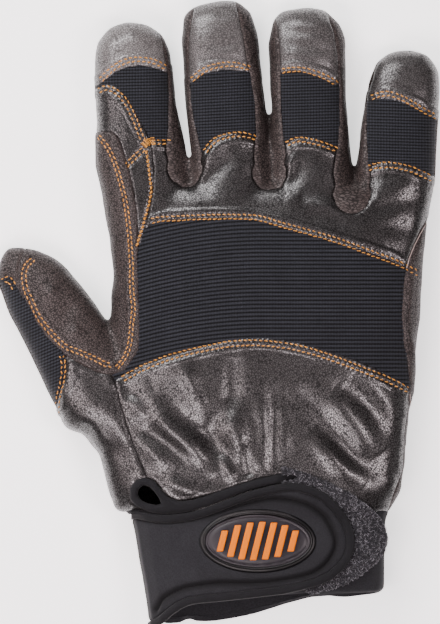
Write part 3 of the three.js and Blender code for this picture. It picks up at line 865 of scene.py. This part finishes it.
# The thread's dark end is painted shade between its twisted strands
thread = {"dark": (0.13, 0.05, 0.007, 1), "light": (0.60, 0.27, 0.045, 1), "twist": 2.2 * mm}


def makeThread():
    finish = Finish("orangeThread", Specular_IOR_Level=0.2)
    twist = finish.node("ShaderNodeTexWave", {"bands_direction": "DIAGONAL"}, {
        "Vector": finish.coordinates, "Scale": 1 / thread["twist"], "Distortion": 1.5}, "Fac")
    patches = finish.noise(6 * mm, 2)
    # the twist's stripes paint dark brown between the strands: painted shade
    colour = finish.mixColour(twist * 0.6 + patches * 0.4, thread["dark"], thread["light"])
    return finish.close(colour, patches * 0.2 + 0.5, twist, 0.06 * mm)


materials = {
    "black_leather": makeLeather("blackLeather"),
    "brown_leather": makeLeather("brownLeather"),
    "stretch_knit": makeKnit(),
    "neoprene": makeJersey("neopreneJersey"),
    "binding_tape": makeJersey("bindingTape"),
    "loop_fabric": makeJersey("loopFabric"),
    "badge_rubber": makeRubber("badgeRubber"),
    "orange_rubber": makeRubber("orangeRubber"),
    "orange_thread": makeThread(),
}


def dress(piece, node, slot):
    # gives a finished piece its last shape, its body and the material of its slot, and hides the CAD
    # node it stands for
    nudge(piece)
    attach(piece, "root")
    if node:
        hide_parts(node)
    piece.data.materials.clear()
    piece.data.materials.append(materials[slot])


def smooth(piece, angle=50):
    activate(piece)
    bpy.ops.object.shade_smooth_by_angle(angle=math.radians(angle))


leatherForm = {
    # a folded edge over the knit: its rise fades out between two distances from the seam
    "hemRise": 0.32 * mm, "hemFade": (3.6 * mm, 4.4 * mm),
    "hemBack": 0.55 * mm, "besideKnit": 1 * mm, "atEdge": (0.3 * mm, 0.8 * mm),
    "edgeRound": 1.1 * mm, "edgeDrop": 0.75 * mm,
    "foldFade": 3 * mm,  # folds run out this far from a seam
    "creases": {"size": 8 * mm, "depth": 0.22 * mm, "seed": 3},
    "wall": {"black_leather": 1.3 * mm, "brown_leather": 1.3 * mm, "neoprene": 2.2 * mm,
             "binding_tape": 1.6 * mm, "stretch_knit": 1.0 * mm},
}


def seamsAround(name, points):
    # distances past the panel's own seam, to any neighbour, and to the nearest knit
    low, high = nodeCorners[name]
    anyOther = np.full(len(points), seamReach)
    knits = anyOther.copy()
    for other in skin:
        otherLow, otherHigh = nodeCorners[other]
        near = (otherLow < high + seamReach) & (otherHigh > low - seamReach)
        if other == name or not near.all():
            continue
        distances = distancesTo(other, points)
        anyOther = np.minimum(anyOther, distances)
        if other in knitNodes:
            knits = np.minimum(knits, distances)
    mine = distancesTo(name, points)
    field = mine - np.minimum(anyOther, looseEdge if name in plugged else openEdge)
    inside = [np.maximum(distances - mine, 0) for distances in (anyOther, knits)]
    return np.where(mine >= seamReach, seamReach, field), *inside, mine


def quarterRound(distances, width, drop):
    # the fall of a rounded edge
    share = 1 - np.clip(distances / width, 0, 1)
    return -drop * (1 - np.sqrt(1 - share * share))


def makePanel(name):
    slot = skin[name]["slot"]
    others = np.minimum.reduce([formDistances[other] for other in skin if other != name])
    mine = formDistances[name]
    rough = (mine - others < openEdge) & (mine < roughEdge)
    piece = stretchOf(name + "_skin", rough, skin[name]["levels"])
    writeDirections(piece, "outward", normalsOf(piece))
    field, seam, hem, mine = seamsAround(name, pointsOf(piece))
    if slot in leathery:
        # the hem's edge stands back from the knit's own seam
        beside = ramp(seam - hem, -leatherForm["besideKnit"], 0)
        back = leatherForm["hemBack"] * beside * (1 - ramp(mine, *leatherForm["atEdge"]))
        field, seam, hem = field + back, np.maximum(seam - back, 0), np.maximum(hem - back, 0)
    writeValues(piece, "seam", seam)
    writeValues(piece, "hem", hem)
    trim(piece, field)
    points, outward = pointsOf(piece), readDirections(piece, "outward")
    seam, hem = readValues(piece, "seam"), readValues(piece, "hem")
    # painted sheen on the caps, more where they face upwards
    if name in paintedSheenShares:
        writeValues(piece, "paintedSheen", paintedSheenShares[name] * ramp(outward[:, 2], *paintedSheenFacing))
    writeValues(piece, "crossed", np.full(len(points), name in crossGrained))
    heights = quarterRound(seam, leatherForm["edgeRound"], leatherForm["edgeDrop"])
    if slot in leathery:
        inHem = 1 - ramp(hem, *leatherForm["hemFade"])
        heights += leatherForm["hemRise"] * inHem
        heights += foldHeights(points, outward) * ramp(seam, 0, leatherForm["foldFade"])
        heights += creaseHeights(points, **leatherForm["creases"])
        heights += puckerHeights(points)
    setPoints(piece, points + outward * heights[:, None])
    forget(piece, "outward", "hem")
    return piece


# The knits are grids along their ribs, cast on the form
backRibs = {"left": 106, "right": 420, "top": 205, "bottom": 392, "bendFrom": 265, "bend": 0.0011,
            "above": 60 * mm, "fall": 50 * mm}


def ribHeights(phases):
    return np.abs(np.sin(np.pi * phases)) ** 0.6


def castBack():
    pixel = picture["pixel"]
    across = np.arange(backRibs["left"], backRibs["right"], knit["columns"] / pixel)
    rows = np.arange(backRibs["top"], backRibs["bottom"], knit["pitch"] / pixel / knit["rows"])
    bend = backRibs["bend"] * np.clip(backRibs["bendFrom"] - across, 0, None) ** 2
    for i, y in enumerate(rows):
        for x, drop in zip(across, bend):
            px, py = spot(x, y + drop)
            yield i, Vector((px, py, backRibs["above"])), down, backRibs["fall"]


thumbAxis = {"base": (88, 402), "end": (30, 262), "height": 8 * mm}
fingerRibs = {"angles": np.radians(np.arange(-132, 133, 8)), "spare": 3 * mm, "radius": 8 * mm}


def castFinger(name):
    # rays out from the finger's axis, row by row
    tip = {"thumb_knit": "thumb_tip"}.get(name, name.replace("knit", "cap"))
    capLow, capHigh = nodeCorners[tip]
    low, high = nodeCorners[name]
    base, end = (low + high) / 2, (capLow + capHigh) / 2
    base[2] = end[2] = (capLow[2] + capHigh[2]) / 2
    if name == "thumb_knit":
        base, end = (np.array([*spot(*thumbAxis[key]), thumbAxis["height"]]) for key in ("base", "end"))
    axis = Vector(end - base).normalized()
    side = axis.cross(up).normalized()
    top = side.cross(axis)
    corners = pointsOf(nodes[name]) - np.array(base)
    reach = corners @ np.array(axis)
    first, last = reach.min() - fingerRibs["spare"], reach.max() + fingerRibs["spare"]
    for i, stop in enumerate(np.arange(first, last, knit["fingerPitch"] / knit["rows"])):
        for angle in fingerRibs["angles"]:
            out = side * math.sin(angle) + top * math.cos(angle)
            yield i, Vector(base) + axis * stop, out, fingerRibs["radius"]


def makeKnitPanel(name):
    onBack = name == "back_knit"
    rise = knit["rise"] if onBack else knit["fingerRise"]
    wales = knit["waleShare"] if onBack else knit["fingerWaleShare"]
    points, rows = [], []
    for row, origin, direction, guess in castBack() if onBack else castFinger(name):
        hit = formTree.ray_cast(origin, direction)[0]
        points.append(tuple(hit or formTree.find_nearest(origin + direction * guess)[0]))
        rows.append(row)
    wide = rows.count(0)
    number = np.arange(len(rows)).reshape(-1, wide)
    corners = [number[:-1, :-1], number[:-1, 1:], number[1:, 1:], number[1:, :-1]]
    faces = np.stack([c.ravel() for c in corners], axis=1)
    points = np.array(points)
    piece = meshPiece(name + "_skin", points.tolist(), faces.tolist())
    field = seamsAround(name, points)[0]
    writeDirections(piece, "outward", normalsOf(piece))
    writeValues(piece, "past", field)
    writeValues(piece, "rib", ribHeights(np.array(rows) / knit["rows"]))
    writeValues(piece, "wales", np.full(len(rows), wales))
    trim(piece, field - knit["tuck"])
    outward = readDirections(piece, "outward")
    centre = outward.mean(axis=0)
    if centre[2] < 0:
        outward = -outward
        editAll(piece, (bpy.ops.mesh.flip_normals, {}))
    past = ramp(readValues(piece, "past"), *knit["underFrom"])
    heights = rise * readValues(piece, "rib") - knit["sink"] - knit["under"] * past
    heights += creaseHeights(pointsOf(piece), **knit["swells"])
    setPoints(piece, pointsOf(piece) + outward * heights[:, None])
    forget(piece, "outward", "past")
    return piece


skinPieces = {}
for name in skin:
    if name == "vent_binding":
        continue  # rounded from its solid, with the strap
    skinPieces[name] = makeKnitPanel(name) if name in knitNodes else makePanel(name)
    print(name, len(skinPieces[name].data.polygons), "faces")

# The parts on the wrist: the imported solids, rounded, then grooved and puffed
strapSystem = {
    "vent_binding": {"slot": "binding_tape", "voxel": 0.45 * mm, "passes": 14, "swell": 0.6 * mm},
    "strap": {"slot": "neoprene", "voxel": 0.55 * mm, "passes": 14, "swell": 0.2 * mm},
    "strap_binding": {"slot": "binding_tape", "voxel": 0.45 * mm, "passes": 14, "swell": 0.45 * mm},
    "loop_patch": {"slot": "loop_fabric", "voxel": 0.55 * mm, "passes": 8, "swell": 0.2 * mm},
}
tufts = {"size": 1.4 * mm, "depth": 0.4 * mm, "seed": 4}  # the loop patch's rough ground
# The strap's groove and puffed sides; shade and shadeWidth paint shade along its furrow
strapGroove = {"depth": 0.8 * mm, "width": 0.6 * mm, "puff": 0.6 * mm, "puffWidth": 2.0 * mm,
              "shade": 0.85, "shadeWidth": 1.7 * mm, "points": [
    (126, 514), (140, 518), (152, 520), (173, 520), (194, 517), (220, 510.5), (248, 503), (276, 499),
    (304, 504), (320, 513), (329, 523), (336, 542), (329, 560), (311, 574), (276, 581), (248, 583),
    (220, 583), (197, 585.5), (181, 589), (164, 598), (156, 610)]}
ventTaper = {"from": 276, "to": 292, "drop": 2.4 * mm}  # the tape runs out under the strap
bindingEnd = 133  # the pixel at which the binding stops on the left
facingUp = (0.1, 0.5)  # the grooves come in as the strap turns upwards


def makeRounded(name):
    look = strapSystem[name]
    piece = copyOf(nodes[name], name + "_piece")
    editAll(piece, mergeCorners)
    applyModifier(piece, "REMESH", mode="VOXEL", voxel_size=look["voxel"])
    applyModifier(piece, "SMOOTH", factor=0.5, iterations=look["passes"])
    points, normals = pointsOf(piece), normalsOf(piece)
    heights = np.full(len(points), look["swell"])
    shown = ramp(normals[:, 2], *facingUp)
    if name == "strap":
        aside = asideOf(lineTree(strapGroove["points"]), points)
        heights += shown * strapGroove["puff"] * (ramp(aside, 0, strapGroove["puffWidth"]) - 1)
        heights -= shown * strapGroove["depth"] * np.exp(-(aside / strapGroove["width"]) ** 2)
        # painted shade along the groove, kept on the strap for its colour
        shade = strapGroove["shade"] * np.exp(-(aside / strapGroove["shadeWidth"]) ** 2)
        writeValues(piece, "furrowShadeShare", shade)
    if name == "loop_patch":
        heights += creaseHeights(points, **tufts)
    points += normals * heights[:, None]
    if name == "vent_binding":
        run = ramp(points[:, 0], acrossAt(ventTaper["from"]), acrossAt(ventTaper["to"]))
        points[:, 2] -= ventTaper["drop"] * run
    if name == "strap_binding":
        points[:, 0] = np.maximum(points[:, 0], acrossAt(bindingEnd))
    setPoints(piece, points)
    return piece


roundedPieces = {name: makeRounded(name) for name in strapSystem}
print("strap made")
shownTrees = [treeOf(piece) for piece in skinPieces.values()]
strapTree = treeOf(roundedPieces["strap"])


skyHeight = 80 * mm  # above every piece


def dropTo(trees, x, y):
    # the highest surface of the trees at a place in plan, and its normal
    best = None
    for tree in trees:
        place, normal = tree.ray_cast(Vector((x, y, skyHeight)), down)[:2]
        if place is not None and (best is None or place.z > best[0].z):
            best = (place, normal)
    return best


def settle(piece, floorNode):
    # moves a copy of a CAD solid from the CAD surface under it to the shown one
    points = pointsOf(piece)
    for i, (x, y, _) in enumerate(points):
        shown, cad = dropTo([strapTree], x, y), dropTo([nodeTrees[floorNode]], x, y)
        if shown and cad:
            points[i, 2] += shown[0].z - cad[0].z
    setPoints(piece, points)


# The badge: rings go inwards from the outer oval, each an inset and a height in millimetres
badge = {
    "rim": [(0.0, -0.6), (0.0, 0.1), (0.25, 0.5), (0.8, 0.75), (1.2, 0.8), (1.45, 1.15), (1.75, 1.25),
            (2.05, 1.1), (2.2, 0.5), (2.2, -0.6)],
    "plate": [(0.0, -0.6), (0.0, 0.35), (0.2, 0.6), (0.6, 0.72), (0.9, 0.7), (1.1, 0.55), (1.4, 0.55),
              (1.6, 0.72), (3, 0.8), (5, 0.86), (7, 0.9), (9, 0.92)],
    "corners": 96, "barBevel": 0.4 * mm, "barSteps": 3, "barMerge": 0.01 * mm, "barFlat": 8,
}


def makeOval(name, node, rings, closed):
    low, high = nodeCorners[node]
    centre, half = (low + high) / 2, (high - low) / 2
    deselectAll()
    bpy.ops.mesh.primitive_circle_add(vertices=badge["corners"], radius=1, location=(*centre[:2], 0))
    piece = bpy.context.view_layer.objects.active
    piece.name = name
    bpy.ops.object.mode_set(mode="EDIT")
    size, level = half[:2], 0
    around = Vector((*centre[:2], 0))
    bpy.ops.transform.resize(value=(*size, 1), center_override=around)
    for number, (inset, height) in enumerate(rings):
        if number:
            bpy.ops.mesh.extrude_edges_move()
        fresh = half[:2] - inset * mm
        bpy.ops.transform.resize(value=(*(fresh / size), 1), center_override=around)
        bpy.ops.transform.translate(value=(0, 0, height * mm - level))
        size, level = fresh, height * mm
    if closed:
        bpy.ops.mesh.edge_face_add()
    else:
        bpy.ops.mesh.select_all(action="DESELECT")
        bpy.ops.mesh.select_non_manifold()
        bpy.ops.mesh.bridge_edge_loops()
    bpy.ops.mesh.select_all(action="SELECT")
    bpy.ops.mesh.normals_make_consistent(inside=False)
    bpy.ops.object.mode_set(mode="OBJECT")
    bpy.ops.object.transform_apply(location=True, rotation=True, scale=True)
    points = pointsOf(piece)
    for i, (x, y, _) in enumerate(points):
        points[i, 2] += dropTo([strapTree], x, y)[0].z
    setPoints(piece, points)
    writeValues(piece, "rim", np.full(len(points), 0.0 if closed else 1.0))
    return piece


badgePieces = {
    "badge_rim": makeOval("badge_rim_piece", "badge_rim", badge["rim"], False),
    "badge_plate": makeOval("badge_plate_piece", "badge_plate", badge["plate"], True),
}
for node in sorted(nodes):
    if node.startswith("badge_bar"):
        bar = copyOf(nodes[node], node + "_piece")
        editAll(bar, (bpy.ops.mesh.remove_doubles, {"threshold": badge["barMerge"]}),
                (bpy.ops.mesh.dissolve_limited, {"angle_limit": math.radians(badge["barFlat"])}))
        applyModifier(bar, "BEVEL", width=badge["barBevel"], segments=badge["barSteps"])
        settle(bar, "strap")
        badgePieces[node] = bar
print("badge made")


# The loop fabric's fuzz: small open arcs of yarn, joined to one piece, each with a random share of
# painted glint
fuzz = {"seed": 31, "count": 2600, "radius": (0.28 * mm, 0.62 * mm), "yarn": 0.13 * mm, "bends": 5,
        "sides": 3, "facing": 0.05, "sunk": 0.35, "lean": 0.7, "glintRarity": 3}


def makeFuzz(patch):
    random.seed(fuzz["seed"])
    faces = [face for face in patch.data.polygons if face.normal.z > fuzz["facing"]]
    turns = np.linspace(-fuzz["sunk"], math.pi + fuzz["sunk"], fuzz["bends"])
    points, corners, glintShares = [], [], []
    for _ in range(fuzz["count"]):
        face = random.choice(faces)
        # a random share of painted glint for each arc, mostly little
        glintShares += [random.random() ** fuzz["glintRarity"]] * (fuzz["bends"] * fuzz["sides"])
        normal = face.normal.normalized()
        side = normal.orthogonal().normalized()
        side.rotate(Quaternion(normal, random.uniform(0, math.tau)))
        astray = Vector([random.uniform(-1, 1) for _ in range(3)])
        lean = (normal + fuzz["lean"] * astray).normalized()
        radius = random.uniform(*fuzz["radius"])
        start = len(points)
        for turn in turns:
            out = side * math.cos(turn) + lean * math.sin(turn)
            middle = face.center + radius * out
            out.normalize()
            beside = side.cross(lean).normalized()
            for k in range(fuzz["sides"]):
                angle = math.tau * k / fuzz["sides"]
                rim = out * math.cos(angle) + beside * math.sin(angle)
                points.append(tuple(middle + rim * fuzz["yarn"] / 2))
        for i in range(len(turns) - 1):
            for k in range(fuzz["sides"]):
                a = start + i * fuzz["sides"] + k
                b = start + i * fuzz["sides"] + (k + 1) % fuzz["sides"]
                corners.append((a, b, b + fuzz["sides"], a + fuzz["sides"]))
    piece = meshPiece("loop_fuzz", points, corners)
    writeValues(piece, "yarn", glintShares)
    editAll(piece, facesOut)
    return piece


fuzzPiece = makeFuzz(roundedPieces["loop_patch"])
print("fuzz made")


# Stitches: one capsule, copied along every row and joined to a piece for each seam
def makeStitchShape():
    deselectAll()
    bpy.ops.mesh.primitive_uv_sphere_add(segments=stitch["sides"], ring_count=5, radius=0.5)
    shape = bpy.context.view_layer.objects.active
    points = pointsOf(shape)[:, [2, 0, 1]]
    faces = [face.vertices[:] for face in shape.data.polygons]
    bpy.data.objects.remove(shape)
    points[:, 0] = np.sign(points[:, 0]) * np.abs(points[:, 0] * 2) ** stitch["bluntness"] / 2
    return points * (stitch["length"], stitch["width"], stitch["width"] * stitch["flatness"]), faces


def makeStitches(seam, shape, faces):
    points, corners = [], []
    line = stitchLines[seam]
    slant = math.radians(line.get("slant", stitch["slant"]))
    thick = line.get("width", stitch["width"]) / stitch["width"]
    for side, row in enumerate(stitchPlaces[seam]):
        landed = [dropTo(shownTrees, x, y) for x, y in row]
        landed = [found for found in landed if found]
        for i, (place, normal) in enumerate(landed):
            before, after = landed[max(i - 1, 0)][0], landed[min(i + 1, len(landed) - 1)][0]
            ahead = after - before
            ahead = (ahead - normal * ahead.dot(normal)).normalized()
            beside = normal.cross(ahead)
            turn = slant if side else -slant
            run = ahead * math.cos(turn) + beside * math.sin(turn)
            across = beside * math.cos(turn) - ahead * math.sin(turn)
            placed = shape @ np.array([run, across * thick, normal * thick])
            placed += np.array(place + normal * stitch["lift"])
            corners += [tuple(len(points) + k for k in face) for face in faces]
            points += placed.tolist()
    piece = meshPiece(seam + "Stitches", points, corners)
    # edge gives a piece in a leather slot the raw edge's pale colour, a painted highlight
    writeValues(piece, "edge", np.ones(len(points)))
    return piece


stitchShape, stitchFaces = makeStitchShape()
stitchPieces = {seam: makeStitches(seam, stitchShape, stitchFaces) for seam in stitchPlaces}
print("stitches made")

for name, piece in skinPieces.items():
    slot = skin[name]["slot"]
    applyModifier(piece, "SOLIDIFY", thickness=leatherForm["wall"][slot], offset=-1)
    smooth(piece)
    dress(piece, name, slot)
for name, piece in roundedPieces.items():
    smooth(piece)
    dress(piece, name, strapSystem[name]["slot"])
for name, piece in badgePieces.items():
    smooth(piece, 40)
    dress(piece, name, "orange_rubber" if "bar" in name else "badge_rubber")
for seam, piece in stitchPieces.items():
    smooth(piece, 60)
    dress(piece, None, stitchLines[seam].get("slot", "orange_thread"))
smooth(fuzzPiece, 60)
dress(fuzzPiece, None, "loop_fabric")
bpy.data.objects.remove(form)
added = [o for o in bpy.context.scene.objects if o.type == "MESH" and o not in nodes.values()]
triangles = {o.name: sum(len(face.vertices) - 2 for face in o.data.polygons) for o in added}
print("triangles:", sum(triangles.values()), "most of them in", max(triangles, key=triangles.get))


stage = {"size": 4, "height": -0.2 * mm, "glow": 1.3, "world": 0.03,
         "dark": (0.88, 0.88, 0.88, 1), "light": (0.9, 0.9, 0.9, 1)}
lamps = {
    "topLight": {"place": (-0.26, 0.44, 0.42), "size": (0.5, 0.36), "power": 7.5,
                 "colour": (1, 0.96, 0.97)},
    "leftLight": {"place": (-0.36, -0.03, 0.42), "size": (0.2, 0.35), "power": 2.0,
                  "colour": (1, 0.84, 0.85)},
    "rightLight": {"place": (0.55, -0.12, 0.85), "size": (0.25, 0.4), "power": 7,
                   "colour": (1, 0.86, 0.88)},
    "lowLight": {"place": (-0.13, -0.26, 0.50), "size": (0.3, 0.22), "power": 3.4,
                 "colour": (1, 0.87, 0.89)},
}


def makeStage():
    deselectAll()
    bpy.ops.mesh.primitive_plane_add(size=stage["size"], location=(0, 0, stage["height"]))
    floor = bpy.context.view_layer.objects.active
    floor.name = "floor"
    finish = Finish("paleFloor", Emission_Color=(1, 1, 1, 1), Emission_Strength=stage["glow"])
    tint = finish.noise(0.3, 1)
    colour = finish.mixColour(tint, stage["dark"], stage["light"])
    floor.data.materials.append(finish.close(colour, 0.9, tint, 0.01 * mm))


def makeLight(name, place, size, power, colour):
    lamp = bpy.data.lights.new(name, "AREA")
    lamp.shape = "RECTANGLE"
    lamp.size, lamp.size_y = size
    lamp.energy = power
    lamp.color = colour
    light = addObject(name, lamp)
    light.location = place
    light.rotation_euler = (-Vector(place)).to_track_quat("-Z", "Y").to_euler()


def makeView():
    world = bpy.data.worlds.new("studio")
    world.use_nodes = True
    background = world.node_tree.nodes["Background"].inputs
    background["Color"].default_value = (1, 1, 1, 1)
    background["Strength"].default_value = stage["world"]
    bpy.context.scene.world = world
    for name, lamp in lamps.items():
        makeLight(name, **lamp)
    lens = bpy.data.cameras.new("camera")
    lens.type = "ORTHO"
    lens.ortho_scale = picture["height"] * picture["pixel"]
    camera = addObject("camera", lens)
    camera.location = (*picture["middle"], 1)
    bpy.context.scene.camera = camera


makeStage()
makeView()
